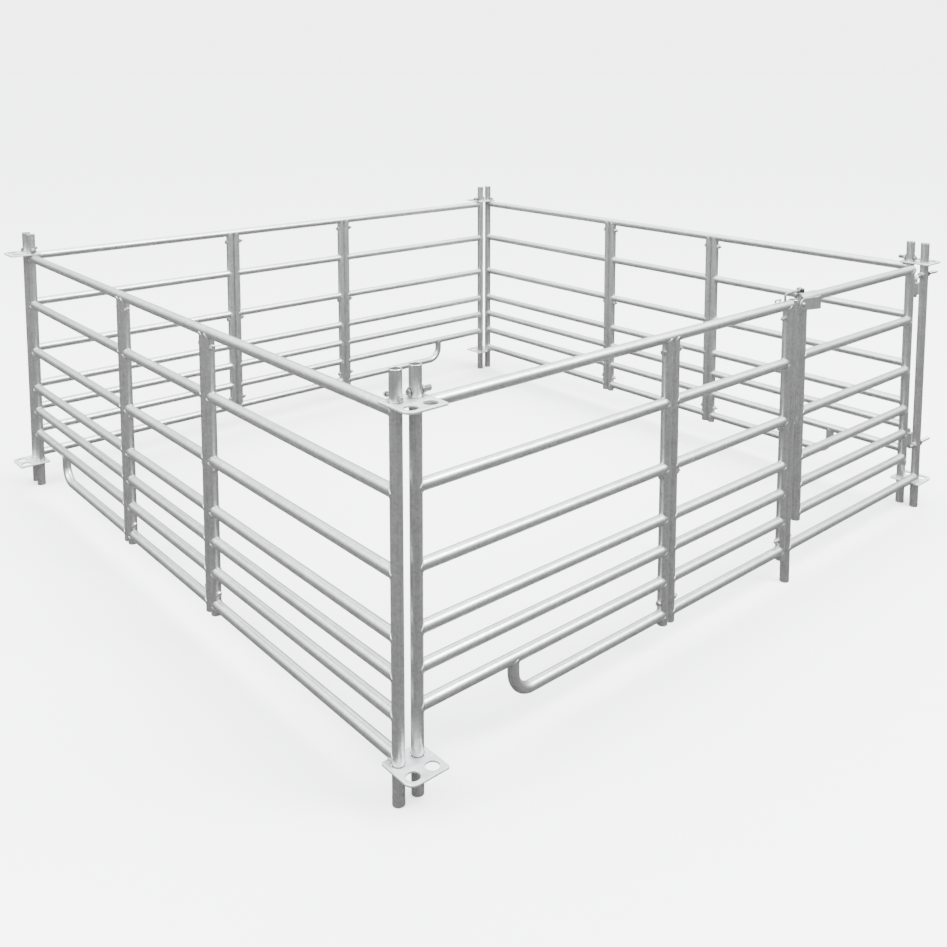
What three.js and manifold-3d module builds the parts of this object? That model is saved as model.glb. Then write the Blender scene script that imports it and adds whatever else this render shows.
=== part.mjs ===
// Square sheep pen of galvanised round tube: four bolted sides, corner plates and one hinged gate.
// Millimetres, +Z up. The origin is the centre of the pen on the ground.
import * as THREE from 'three';
import { mergeVertices } from 'three/addons/utils/BufferGeometryUtils.js';
import Module from 'manifold-3d';

const wasm = await Module();
wasm.setup();

// ---- tube and clearances ----
const TUBE_R = 16.85;
const BORE_R = 14;
const FIT_GAP = 0.3;
const SEAM_GAP = FIT_GAP / 2;
const CLEAR_R = TUBE_R + FIT_GAP;
const OVERCUT = 10;
const TUBE_SIDES = 12;
const POST_SIDES = 16;
const ROD_SIDES = 8;
const HEX_SIDES = 6;
const FOOT_BORE_DEPTH = 60;

// ---- one side of the pen, measured along it from its end post ----
const END_PANEL = 985;
const MID_PANEL = 655;
const MID_END = END_PANEL + MID_PANEL;
const POST_TO_POST = 2625;
const HOLE_PITCH = 60;
const HALF_SIDE = (POST_TO_POST + HOLE_PITCH) / 2;

// ---- heights: seven rails from the top down, posts and uprights ----
const RAIL_Z = [1010, 806, 600, 437, 335, 233, 125];
const [TOP_RAIL_Z] = RAIL_Z;
const BOTTOM_RAIL_Z = RAIL_Z[6];
const POST_TOP = 1115;
const UPRIGHT_FOOT = 92;
const FRAME_POST_TOP = 1026;

// ---- bent bottom rail, which stops short of the corner ----
const BEND_LEG_U = 2295;
const BEND_R = 65;
const BEND_STEPS = 6;
const BEND_TOP_Z = RAIL_Z[5];

// ---- corner plates: four holes, two of them filled by posts ----
const PLATE_SIZE = 124;
const PLATE_T = 6;
const PLATE_HOLE_R = 19;
const PLATE_CORNER_R = 26;
const PLATE_CORNER_STEPS = 5;

// ---- upper bolt through each pair of uprights ----
const PAIR_BOLT_Z = 966;
const BOLT_R = 5;
const BOLT_HOLE_R = 5.5;
const BOLT_AF = 17;
const BOLT_HEAD_T = 6.5;
const BOLT_NUT_T = 8.5;
const BOLT_TIP = 9;

// ---- gate leaf, hung between the last corner post and the frame post ----
const LEAF_LIFT = 8;
const LEAF_RAIL_Z = RAIL_Z.slice(0, 6).map((z) => z + LEAF_LIFT);
const [LEAF_TOP_Z] = LEAF_RAIL_Z;
const LEAF_FOOT = 212;
const HINGE_STILE_U = 118;
const LATCH_STILE_U = 909;

// ---- hinges: threaded hooks through the post, bushes on the stile ----
const HINGE_U = 70;
const HINGES = [
  { which: 'upper', hookZ: 985, pinTo: -84, lugZ: 912 },
  { which: 'lower', hookZ: 268, pinTo: 84, lugZ: 286 },
];
const PIN_R = 6.9;
const SHANK_R = 7;
const SHANK_HOLE_R = 7.6;
const SHANK_END_U = -110;
const COLLAR_R = 12.5;
const COLLAR_T = 16;
const BUSH_R = 13;
const BUSH_BORE_R = 7.5;
const LUG_H = 50;
const LUG_PLATE_T = 10;
const HINGE_NUT_AF = 24;
const HINGE_NUT_T = 13;

// ---- latch: a saddle over the end of the leaf's top rail carries a hook that lifts ----
const SADDLE_R = 20.5;
const SADDLE_U = [826, 931];
const SADDLE_LEG = 33;
const SIDE_PLATE_V = [20.8, 24.1];
const SIDE_PLATE_Z = [975, 1020];
const SIDE_PLATE_ARC = [-85, 94];
const SIDE_PLATE_ROUND = 21;
const CATCH_U = 939.5;
const CATCH_Z = 1006.5;
const CATCH_R = 4;
const CATCH_HEAD_R = 7.5;
const CATCH_HEAD_T = 5;
const CATCH_NUT_T = 6;
const EAR_W = 24;
const EAR_V = [-8.5, -2.5];
const EAR_SINK = 4;
const EAR_RISE = 9;
const PIVOT_U = 926;
const PIVOT_Z = 1052;
const PIVOT_R = 4;
const PIVOT_HEAD_R = 7.5;
const PIVOT_HEAD_T = 3.7;
const PIVOT_NUT_R = 9.2;
const PIVOT_NUT_T = 7.8;
const HOOK_ROD_R = 4;
const HOOK_EYE_R = 9.5;
const HOOK_V = EAR_V[1] + FIT_GAP + HOOK_ROD_R;
const HOOK_START = 6;
const HOOK_TIP_U = 1022;
const HOOK_TIP_Z = 1028.5;
const HOOK_BEND_R = 9;
const HOOK_BEND_STEPS = 4;
const KEEPER_U = [1044, 1083];
const KEEPER_Z = 1037;
const KEEPER_R = 2.5;
const KEEPER_LEG_INSET = 6;

// ---- finishes ----
const zinc = { color: 0xb4babd, roughness: 0.42, metalness: 0.9 };
const plateZinc = { color: 0xc9cccb, roughness: 0.5, metalness: 0.85 };
const boltZinc = { color: 0x9fa3a3, roughness: 0.38, metalness: 0.9 };
const blackSteel = { color: 0x26282a, roughness: 0.5, metalness: 0.6 };

// ---- solids ----

// A closed geometry as a boolean solid.
function solid(geometry) {
  const g = geometry.clone();
  g.deleteAttribute('normal');
  g.deleteAttribute('uv');
  const merged = mergeVertices(g, 1e-3);
  const vertProperties = new Float32Array(merged.attributes.position.array);
  const triVerts = new Uint32Array(merged.index.array);
  return new wasm.Manifold(new wasm.Mesh({ numProp: 3, vertProperties, triVerts }));
}

const add = (...parts) => parts.reduce((a, b) => a.add(b));
const cut = (body, ...tools) => tools.reduce((a, b) => a.subtract(b), body);

// A round bar from a to b, in side coordinates: u along the side, v outwards, z up.
function bar(a, b, r, sides) {
  const from = new THREE.Vector3(...a);
  const along = new THREE.Vector3(...b).sub(from);
  const length = along.length();
  const g = new THREE.CylinderGeometry(r, r, length, sides);
  g.rotateY(Math.PI / sides);
  g.translate(0, length / 2, 0);
  const turn = new THREE.Quaternion();
  turn.setFromUnitVectors(new THREE.Vector3(0, 1, 0), along.normalize());
  g.applyQuaternion(turn);
  g.translate(from.x, from.y, from.z);
  return solid(g);
}

const upright = (u, z0, z1, r = TUBE_R, sides = TUBE_SIDES) => bar([u, 0, z0], [u, 0, z1], r, sides);
const level = (u0, u1, z, r = TUBE_R, sides = TUBE_SIDES) => bar([u0, 0, z], [u1, 0, z], r, sides);
const hexAlong = (u0, u1, z, acrossFlats) => level(u0, u1, z, acrossFlats / Math.sqrt(3), HEX_SIDES);

function block(u0, u1, v0, v1, z0, z1) {
  const g = new THREE.BoxGeometry(u1 - u0, v1 - v0, z1 - z0);
  g.translate((u0 + u1) / 2, (v0 + v1) / 2, (z0 + z1) / 2);
  return solid(g);
}

// A path given by its stations, so that a swept bar has rings only where they are needed.
class StationPath extends THREE.Curve {
  constructor(points, tangents) {
    super();
    this.points = points;
    this.tangents = tangents;
  }

  getPointAt(t) {
    return this.points[Math.round(t * (this.points.length - 1))].clone();
  }

  getTangentAt(t) {
    return this.tangents[Math.round(t * (this.tangents.length - 1))].clone();
  }

  getPoint(t) {
    return this.getPointAt(t);
  }

  getTangent(t) {
    return this.getTangentAt(t);
  }
}

// A bar in the u-z plane at v: straight to a corner, round it, and straight to the end.
function bentBar(start, corner, end, v, r, bendR, sides, steps) {
  const [a, c, b] = [start, corner, end].map(([u, z]) => new THREE.Vector3(u, v, z));
  const into = c.clone().sub(a).normalize();
  const out = b.clone().sub(c).normalize();
  const centre = c.clone().addScaledVector(into, -bendR).addScaledVector(out, bendR);
  const points = [a];
  const tangents = [into];
  for (let i = 0; i <= steps; i += 1) {
    const angle = (Math.PI / 2) * (i / steps);
    const [cos, sin] = [Math.cos(angle), Math.sin(angle)];
    points.push(centre.clone().addScaledVector(out, -bendR * cos).addScaledVector(into, bendR * sin));
    tangents.push(into.clone().multiplyScalar(cos).addScaledVector(out, sin));
  }
  points.push(b);
  tangents.push(out);
  const section = new THREE.Shape();
  for (let i = 0; i < sides; i += 1) {
    const angle = (2 * Math.PI * (i + 0.5)) / sides;
    const corner2d = [r * Math.cos(angle), r * Math.sin(angle)];
    if (i === 0) section.moveTo(...corner2d);
    else section.lineTo(...corner2d);
  }
  const extrudePath = new StationPath(points, tangents);
  const options = { steps: points.length - 1, bevelEnabled: false, extrudePath };
  return solid(new THREE.ExtrudeGeometry(section, options));
}

// ---- placing: side 0 is the front, and each next side is a quarter turn clockwise from above ----
const SIDES = ['front', 'left', 'back', 'right'];
const pen = new THREE.Group();
pen.name = 'sheep_pen';

const sideGroups = SIDES.map((side, k) => {
  const group = new THREE.Group();
  group.name = side;
  group.rotation.z = (-k * Math.PI) / 2;
  pen.add(group);
  return group;
});

// Side coordinates become the front side's X and Y, and the side's group turns it into place.
function place(name, body, side, finish) {
  const mesh = body.getMesh();
  const position = new Float32Array(mesh.numVert * 3);
  for (let i = 0; i < mesh.numVert; i += 1) {
    const [u, v, z] = mesh.vertProperties.slice(i * mesh.numProp, i * mesh.numProp + 3);
    position.set([HALF_SIDE - u, -HALF_SIDE - v, z], i * 3);
  }
  const g = new THREE.BufferGeometry();
  g.setAttribute('position', new THREE.BufferAttribute(position, 3));
  g.setIndex(Array.from(mesh.triVerts));
  g.computeVertexNormals();
  const node = new THREE.Mesh(g, new THREE.MeshStandardMaterial(finish));
  node.name = name;
  sideGroups[side].add(node);
}

// ---- tools that leave a welding gap round a post or an upright, and bolt holes ----
const roundPost = (u) => upright(u, -OVERCUT, POST_TOP + OVERCUT, CLEAR_R, POST_SIDES);
const roundUpright = (u) => upright(u, -OVERCUT, POST_TOP + OVERCUT, CLEAR_R);
const holeThrough = (u, z, r) => level(u - TUBE_R - OVERCUT, u + TUBE_R + OVERCUT, z, r, ROD_SIDES);
const pairHole = (u) => holeThrough(u, PAIR_BOLT_Z, BOLT_HOLE_R);

// ---- tubes ----

// A corner post is open from the ground to its spigot.
function cornerPost(u) {
  const outer = upright(u, 0, POST_TOP, TUBE_R, POST_SIDES);
  return cut(outer, upright(u, -OVERCUT, POST_TOP + OVERCUT, BORE_R, POST_SIDES));
}

const panelUpright = (u) => upright(u, UPRIGHT_FOOT, TOP_RAIL_Z);
const footBore = (u, foot) => upright(u, foot - OVERCUT, foot + FOOT_BORE_DEPTH, BORE_R);
const topRail = (u0, u1) => level(u0, u1, TOP_RAIL_Z);

// The lower rails of one panel on their upright, coped by farTool round the neighbour at farU.
function rungs(uprightU, farU, railCount, farTool) {
  const rails = RAIL_Z.slice(1, railCount).map((z) => level(uprightU, farU, z));
  const body = add(panelUpright(uprightU), ...rails);
  return cut(body, footBore(uprightU, UPRIGHT_FOOT), pairHole(uprightU), farTool);
}

// An upright that stands alone under a top rail made with the panel's other upright.
function looseUpright(u) {
  const underRail = level(u - TUBE_R - OVERCUT, u + TUBE_R + OVERCUT, TOP_RAIL_Z, CLEAR_R);
  return cut(panelUpright(u), footBore(u, UPRIGHT_FOOT), pairHole(u), underRail);
}

// A bolt through two uprights that meet at a seam; way is +1 where its nut faces the bent panel.
function pairBolt(seam, way) {
  const grip = 2 * TUBE_R + SEAM_GAP + FIT_GAP;
  const between = (d0, d1) => [seam + way * d0, seam + way * d1].sort((a, b) => a - b);
  return add(
    level(...between(-grip - 1, grip + BOLT_NUT_T + BOLT_TIP), PAIR_BOLT_Z, BOLT_R, ROD_SIDES),
    hexAlong(...between(-grip - BOLT_HEAD_T, -grip), PAIR_BOLT_Z, BOLT_AF),
    hexAlong(...between(grip, grip + BOLT_NUT_T), PAIR_BOLT_Z, BOLT_AF),
  );
}

// A square plate with four holes and one well rounded corner, which points out of the pen.
function cornerPlate(z0) {
  const half = PLATE_SIZE / 2;
  const cu = POST_TO_POST + HOLE_PITCH / 2;
  const cv = HOLE_PITCH / 2;
  const outline = new THREE.Shape();
  outline.moveTo(cu - half, cv - half);
  outline.lineTo(cu + half, cv - half);
  for (let i = 0; i <= PLATE_CORNER_STEPS; i += 1) {
    const angle = (Math.PI / 2) * (i / PLATE_CORNER_STEPS);
    const inset = half - PLATE_CORNER_R;
    const [cos, sin] = [Math.cos(angle), Math.sin(angle)];
    outline.lineTo(cu + inset + PLATE_CORNER_R * cos, cv + inset + PLATE_CORNER_R * sin);
  }
  outline.lineTo(cu - half, cv + half);
  outline.closePath();
  const g = new THREE.ExtrudeGeometry(outline, { depth: PLATE_T, steps: 1, bevelEnabled: false });
  g.translate(0, 0, z0);
  const holes = [POST_TO_POST, POST_TO_POST + HOLE_PITCH].flatMap((u) => [0, HOLE_PITCH].map((v) => {
    const [low, high] = [z0 - OVERCUT, z0 + PLATE_T + OVERCUT];
    return bar([u, v, low], [u, v, high], PLATE_HOLE_R, POST_SIDES);
  }));
  return cut(solid(g), ...holes);
}

// ---- one side of the pen; the front has the gate in place of its end panel ----
function middlePanel(side, k) {
  const nearU = END_PANEL + SEAM_GAP + TUBE_R;
  const farU = MID_END - SEAM_GAP - TUBE_R;
  const top = topRail(END_PANEL + SEAM_GAP, MID_END - SEAM_GAP);
  const ladder = add(rungs(nearU, farU, RAIL_Z.length, roundUpright(farU)), top);
  place(`${side}_mid_ladder`, ladder, k, zinc);
  place(`${side}_mid_upright`, looseUpright(farU), k, zinc);
}

function bentPanel(side, k) {
  const uprightU = MID_END + SEAM_GAP + TUBE_R;
  const post = roundPost(POST_TO_POST);
  const top = cut(topRail(MID_END + SEAM_GAP, POST_TO_POST), post);
  place(`${side}_bend_ladder`, add(rungs(uprightU, POST_TO_POST, 6, post), top), k, zinc);
  const start = [uprightU, BOTTOM_RAIL_Z];
  const corner = [BEND_LEG_U, BOTTOM_RAIL_Z];
  const end = [BEND_LEG_U, BEND_TOP_Z];
  const rail = cut(
    bentBar(start, corner, end, 0, TUBE_R, BEND_R, TUBE_SIDES, BEND_STEPS),
    roundUpright(uprightU),
    level(BEND_LEG_U - BEND_R, BEND_LEG_U + BEND_R, BEND_TOP_Z, CLEAR_R),
  );
  place(`${side}_bend_rail`, rail, k, zinc);
  place(`${side}_bend_post`, cornerPost(POST_TO_POST), k, zinc);
}

function endPanel(side, k) {
  const uprightU = END_PANEL - SEAM_GAP - TUBE_R;
  const post = roundPost(0);
  const top = cut(topRail(0, END_PANEL - SEAM_GAP), post);
  place(`${side}_end_ladder`, add(rungs(uprightU, 0, RAIL_Z.length, post), top), k, zinc);
  place(`${side}_end_post`, cornerPost(0), k, zinc);
}

function cornerPlates(side, k) {
  place(`${side}_corner_plate_top`, cornerPlate(TOP_RAIL_Z + CLEAR_R), k, plateZinc);
  place(`${side}_corner_plate_bottom`, cornerPlate(BOTTOM_RAIL_Z - CLEAR_R - PLATE_T), k, plateZinc);
}

SIDES.forEach((side, k) => {
  const isFront = k === 0;
  middlePanel(side, k);
  bentPanel(side, k);
  if (!isFront) endPanel(side, k);
  cornerPlates(side, k);
  place(`${side}_pair_bolt_end`, pairBolt(END_PANEL, 1), k, boltZinc);
  place(`${side}_pair_bolt_bend`, pairBolt(MID_END, isFront ? -1 : 1), k, boltZinc);
});

// ---- gate frame ----
function gateFrame() {
  const frameU = END_PANEL - SEAM_GAP - TUBE_R;
  const bore = upright(frameU, -OVERCUT, FRAME_POST_TOP + OVERCUT, BORE_R);
  place('gate_frame_post', cut(upright(frameU, 0, FRAME_POST_TOP), bore, pairHole(frameU)), 0, zinc);
  const threshold = cut(level(0, frameU, BOTTOM_RAIL_Z), roundPost(0), roundUpright(frameU));
  place('gate_threshold_rail', threshold, 0, zinc);
  const shankHoles = HINGES.map(({ hookZ }) => holeThrough(0, hookZ, SHANK_HOLE_R));
  place('gate_hinge_post', cut(cornerPost(0), ...shankHoles), 0, zinc);
}

// ---- gate leaf: its top rail runs over both stiles ----
function gateLeaf() {
  const [topZ, ...lowerZ] = LEAF_RAIL_Z;
  const latchStile = upright(LATCH_STILE_U, LEAF_FOOT, topZ);
  const rails = lowerZ.map((z) => level(HINGE_STILE_U, LATCH_STILE_U, z));
  const lower = cut(
    add(latchStile, ...rails),
    footBore(LATCH_STILE_U, LEAF_FOOT),
    roundUpright(HINGE_STILE_U),
  );
  const top = level(HINGE_STILE_U - TUBE_R, LATCH_STILE_U + TUBE_R, topZ);
  place('gate_ladder', add(lower, top), 0, zinc);
  const hingeStile = cut(
    upright(HINGE_STILE_U, LEAF_FOOT, topZ),
    footBore(HINGE_STILE_U, LEAF_FOOT),
    level(HINGE_STILE_U - TUBE_R - OVERCUT, HINGE_STILE_U + TUBE_R + OVERCUT, topZ, CLEAR_R),
  );
  place('gate_hinge_stile', hingeStile, 0, zinc);
}

// ---- hinges: a bush on the stile turns on the turned end of a threaded hook ----
function hinge({ which, hookZ, pinTo, lugZ }) {
  const half = LUG_PLATE_T / 2;
  const lug = cut(
    add(
      upright(HINGE_U, lugZ, lugZ + LUG_H, BUSH_R),
      block(HINGE_U, HINGE_STILE_U, -half, half, lugZ, lugZ + LUG_H),
    ),
    upright(HINGE_U, lugZ - OVERCUT, lugZ + LUG_H + OVERCUT, BUSH_BORE_R),
    roundUpright(HINGE_STILE_U),
  );
  place(`gate_lug_${which}`, lug, 0, zinc);

  const [pinLow, pinHigh] = [Math.min(hookZ, hookZ + pinTo), Math.max(hookZ, hookZ + pinTo)];
  const hook = add(
    level(SHANK_END_U, HINGE_U + SHANK_R, hookZ, SHANK_R),
    upright(HINGE_U, pinLow, pinHigh, PIN_R),
    level(CLEAR_R, CLEAR_R + COLLAR_T, hookZ, COLLAR_R),
  );
  place(`hinge_hook_${which}`, hook, 0, boltZinc);

  const nutU = -CLEAR_R - HINGE_NUT_T;
  const nut = cut(
    hexAlong(nutU, -CLEAR_R, hookZ, HINGE_NUT_AF),
    level(nutU - OVERCUT, OVERCUT, hookZ, SHANK_HOLE_R),
  );
  place(`hinge_nut_${which}`, nut, 0, blackSteel);
}

// ---- latch ----
const pivotBar = (v0, v1, r, sides) => bar([PIVOT_U, v0, PIVOT_Z], [PIVOT_U, v1, PIVOT_Z], r, sides);

// A folded saddle over the end of the top rail, with an ear for the hook.
function latchSaddle() {
  const [u0, u1] = SADDLE_U;
  const legZ = LEAF_TOP_Z - SADDLE_LEG;
  const earZ = LEAF_TOP_Z + SADDLE_R - EAR_SINK;
  place('latch_saddle', cut(
    add(
      level(u0, u1, LEAF_TOP_Z, SADDLE_R, POST_SIDES),
      block(u0, u1, -SADDLE_R, SADDLE_R, legZ, LEAF_TOP_Z),
      block(PIVOT_U - EAR_W / 2, PIVOT_U + EAR_W / 2, ...EAR_V, earZ, PIVOT_Z + EAR_RISE),
    ),
    level(u0 - OVERCUT, u1 + OVERCUT, LEAF_TOP_Z, CLEAR_R),
    block(u0 - OVERCUT, u1 + OVERCUT, -CLEAR_R, CLEAR_R, legZ - OVERCUT, LEAF_TOP_Z),
    pivotBar(EAR_V[0] - OVERCUT, EAR_V[1] + OVERCUT, PIVOT_R + FIT_GAP, ROD_SIDES),
  ), 0, zinc);
}

// The plate on the saddle's outer side ends in a round lug that hides the gap to the frame post.
function latchSidePlate() {
  const [v0, v1] = SIDE_PLATE_V;
  const [lowZ, highZ] = SIDE_PLATE_Z;
  const [from, to] = SIDE_PLATE_ARC.map(THREE.MathUtils.degToRad);
  const outline = new THREE.Shape();
  outline.moveTo(SADDLE_U[0], highZ);
  outline.lineTo(SADDLE_U[0], lowZ);
  outline.absarc(CATCH_U, CATCH_Z, SIDE_PLATE_ROUND, from, to, false);
  const g = new THREE.ExtrudeGeometry(outline, { depth: v1 - v0, bevelEnabled: false, curveSegments: 24 });
  g.rotateX(Math.PI / 2);
  g.translate(0, v1, 0);
  const catchBar = (a, b, r, sides) => bar([CATCH_U, a, CATCH_Z], [CATCH_U, b, CATCH_Z], r, sides);
  const hole = catchBar(v0 - OVERCUT, v1 + OVERCUT, CATCH_R + FIT_GAP, ROD_SIDES);
  place('latch_side_plate', cut(solid(g), hole), 0, zinc);
  const nutV = v0 - FIT_GAP;
  const headV = v1 + FIT_GAP;
  place('latch_catch_bolt', add(
    catchBar(headV, headV + CATCH_HEAD_T, CATCH_HEAD_R, TUBE_SIDES),
    catchBar(nutV - CATCH_NUT_T, headV + 1, CATCH_R, ROD_SIDES),
    catchBar(nutV - CATCH_NUT_T, nutV, CATCH_HEAD_R, HEX_SIDES),
  ), 0, boltZinc);
}

// The pivot bolt runs through the ear and the hook's eye, with its nut on the outer side.
function latchPivot() {
  const headV = EAR_V[0] - FIT_GAP;
  const nutV = HOOK_V + HOOK_ROD_R + FIT_GAP;
  place('latch_pivot_bolt', add(
    pivotBar(headV - PIVOT_HEAD_T, headV, PIVOT_HEAD_R, HEX_SIDES),
    pivotBar(headV - 1, nutV + 1, PIVOT_R, ROD_SIDES),
    pivotBar(nutV, nutV + PIVOT_NUT_T, PIVOT_NUT_R, HEX_SIDES),
  ), 0, blackSteel);
}

// The hook is a rod with an eye at one end and its tip turned down at the other.
function latchHook() {
  const start = [PIVOT_U + HOOK_START, PIVOT_Z];
  const corner = [HOOK_TIP_U, PIVOT_Z];
  const tip = [HOOK_TIP_U, HOOK_TIP_Z];
  place('latch_hook', cut(
    add(
      pivotBar(HOOK_V - HOOK_ROD_R, HOOK_V + HOOK_ROD_R, HOOK_EYE_R, TUBE_SIDES),
      bentBar(start, corner, tip, HOOK_V, HOOK_ROD_R, HOOK_BEND_R, ROD_SIDES, HOOK_BEND_STEPS),
    ),
    pivotBar(HOOK_V - OVERCUT, HOOK_V + OVERCUT, PIVOT_R + FIT_GAP, TUBE_SIDES),
  ), 0, boltZinc);
}

// A small staple on the middle panel's top rail, beyond the hook's tip.
function latchKeeper() {
  const [u0, u1] = KEEPER_U;
  const legs = [u0 + KEEPER_LEG_INSET, u1 - KEEPER_LEG_INSET];
  place('latch_keeper', add(
    level(u0, u1, KEEPER_Z, KEEPER_R, ROD_SIDES),
    ...legs.map((u) => upright(u, TOP_RAIL_Z + CLEAR_R, KEEPER_Z, KEEPER_R, ROD_SIDES)),
  ), 0, boltZinc);
}

gateFrame();
gateLeaf();
HINGES.forEach(hinge);
latchSaddle();
latchSidePlate();
latchPivot();
latchHook();
latchKeeper();

export default pen;
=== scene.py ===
# %% [markdown]
# # A square sheep pen of galvanised tube
# The pen is twelve tube panels in a square: three bolted side by side on each side, with steel
# plates tying the corner posts together and one gate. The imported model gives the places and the
# moving bodies. This lesson dresses it: smooth coped tubes, weld beads, bolts, a hinged and
# latched gate, and hot-dip galvanised steel that looks like zinc and not like grey paint.

import math

import bmesh
import bpy
from mathutils import Matrix, Vector


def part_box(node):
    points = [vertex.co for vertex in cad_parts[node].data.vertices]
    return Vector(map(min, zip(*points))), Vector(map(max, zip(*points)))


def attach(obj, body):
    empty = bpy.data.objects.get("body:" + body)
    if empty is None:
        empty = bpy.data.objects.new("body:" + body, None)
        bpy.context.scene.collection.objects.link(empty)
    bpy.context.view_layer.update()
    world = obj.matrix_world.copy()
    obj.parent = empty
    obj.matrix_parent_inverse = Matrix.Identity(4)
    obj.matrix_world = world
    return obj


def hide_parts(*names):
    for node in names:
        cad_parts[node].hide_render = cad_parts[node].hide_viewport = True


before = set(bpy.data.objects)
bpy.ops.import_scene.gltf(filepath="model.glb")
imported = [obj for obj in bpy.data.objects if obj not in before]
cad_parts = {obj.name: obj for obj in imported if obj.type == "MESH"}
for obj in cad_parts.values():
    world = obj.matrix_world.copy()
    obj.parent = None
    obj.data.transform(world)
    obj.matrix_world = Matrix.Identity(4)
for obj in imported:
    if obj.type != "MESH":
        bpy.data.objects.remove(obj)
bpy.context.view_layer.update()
collection = bpy.context.scene.collection

# %% [markdown]
# ## The camera
# It stands off the corner where two sides meet, a little above head height. The posts stay
# nearly upright in the picture because the camera hardly tips down: its frame is shifted
# instead, as with a view camera's rising front.

# %% Camera
CAMERA_PLACE = (-2.7644, -3.2696, 1.8255)
CAMERA_TILT_DOWN = math.radians(6.0)
CAMERA_TURN = math.radians(-40.883)
CAMERA_LENS = 39.106
CAMERA_SENSOR = 36
CAMERA_SHIFT = -0.3141

camera_data = bpy.data.cameras.new("camera")
camera_data.lens = CAMERA_LENS
camera_data.sensor_width = CAMERA_SENSOR
camera_data.shift_y = CAMERA_SHIFT
camera = bpy.data.objects.new("camera", camera_data)
camera.location = CAMERA_PLACE
camera.rotation_euler = (math.radians(90) - CAMERA_TILT_DOWN, 0, CAMERA_TURN)
collection.objects.link(camera)
bpy.context.scene.camera = camera
print("camera at", CAMERA_PLACE)

# %% [markdown]
# ## Helpers for node trees
# The sky, the metals and the Geometry Nodes are all trees of nodes. These helpers add a node
# and wire its inputs in one call, so that a tree reads from top to bottom like a recipe.

# %% Node helpers
def add_node(tree, kind, inputs=None, **settings):
    """Adds a node; each input gets a value, or a link from the output that feeds it."""
    node = tree.nodes.new(kind)
    for name, value in settings.items():
        setattr(node, name, value)
    for name, value in (inputs or {}).items():
        if isinstance(value, bpy.types.NodeSocket):
            tree.links.new(value, node.inputs[name])
        else:
            node.inputs[name].default_value = value
    return node


def first_out(tree, kind, inputs=None, **settings):
    return add_node(tree, kind, inputs, **settings).outputs[0]


def maths(tree, a, operation, b):
    return first_out(tree, "ShaderNodeMath", {0: a, 1: b}, operation=operation)


def weighted_sum(tree, terms):
    """Adds outputs, each times its weight."""
    scaled = [maths(tree, output, "MULTIPLY", weight) for output, weight in terms]
    total = scaled[0]
    for term in scaled[1:]:
        total = maths(tree, total, "ADD", term)
    return total


def set_stops(ramp, stops):
    """Gives a new colour ramp its stops: (place, colour) from left to right."""
    for place, _ in stops[1:-1]:
        ramp.color_ramp.elements.new(place)
    for element, (place, colour) in zip(ramp.color_ramp.elements, stops):
        element.position = place
        element.color = (*colour, 1)


print("helpers: add_node, first_out, maths, weighted_sum, set_stops")

# %% [markdown]
# ## Floor and light
# Bare metal shows what it reflects, so its light and dark come from the surroundings more than
# from its colour. Here the sky is bright overhead and falls off to a dull horizon, as over a
# farmyard, so each tube gets a light line on top and a darker belly. The camera itself sees a
# plain backdrop, set as bright as the far floor so that no horizon shows. The floor is kept out
# of the reflections so that it may stay pale, and two lamps lighten the near sides.

# %% Floor
FLOOR_REACH = 400.0
FLOOR_GREY = 0.93


def make_floor():
    half = FLOOR_REACH / 2
    mesh = bpy.data.meshes.new("floor")
    corners = [(-half, -half, 0), (half, -half, 0), (half, half, 0), (-half, half, 0)]
    mesh.from_pydata(corners, [], [(0, 1, 2, 3)])
    material = bpy.data.materials.new("pale floor")
    material.use_nodes = True
    shader = material.node_tree.nodes["Principled BSDF"]
    shader.inputs["Base Color"].default_value = (FLOOR_GREY, FLOOR_GREY, FLOOR_GREY, 1)
    shader.inputs["Roughness"].default_value = 1.0
    shader.inputs["Specular IOR Level"].default_value = 0.0
    mesh.materials.append(material)
    floor = bpy.data.objects.new("floor", mesh)
    floor.visible_glossy = False
    collection.objects.link(floor)


make_floor()
print("floor", FLOOR_REACH, "m across")

# %% Sky and lamps
BACKDROP = 4.8
SKY = ((0.0, 0.18), (0.46, 0.2), (0.53, 0.36), (0.68, 2.3), (1.0, 8.5))
SKY_CHANGE = 0.6
LOW_WARMTH, HIGH_WARMTH = 0.035, -0.02
LAMP_TARGET = (0, 0, 0.5)


def sky_colour(place, value):
    warmth = LOW_WARMTH if place < SKY_CHANGE else HIGH_WARMTH
    return value * (1 + warmth), value, value * (1 - warmth)


def make_sky():
    """Brightness by direction: straight down is 0, the horizon 0.5 and the zenith 1."""
    world = bpy.data.worlds.new("studio")
    world.use_nodes = True
    tree = world.node_tree
    backdrop = tree.nodes["Background"]
    backdrop.inputs["Strength"].default_value = BACKDROP
    backdrop.inputs["Color"].default_value = (1, 1, 1, 1)
    way = add_node(tree, "ShaderNodeTexCoord")
    parts = add_node(tree, "ShaderNodeSeparateXYZ", {0: way.outputs["Generated"]})
    height = first_out(tree, "ShaderNodeMapRange", {0: parts.outputs["Z"], 1: -1.0})
    ramp = add_node(tree, "ShaderNodeValToRGB", {0: height})
    set_stops(ramp, [(place, sky_colour(place, value)) for place, value in SKY])
    sky = first_out(tree, "ShaderNodeBackground", {"Color": ramp.outputs[0]})
    seen = add_node(tree, "ShaderNodeLightPath").outputs["Is Camera Ray"]
    mix = first_out(tree, "ShaderNodeMixShader", {0: seen, 1: sky, 2: backdrop.outputs[0]})
    tree.links.new(mix, tree.nodes["World Output"].inputs[0])
    bpy.context.scene.world = world


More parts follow.
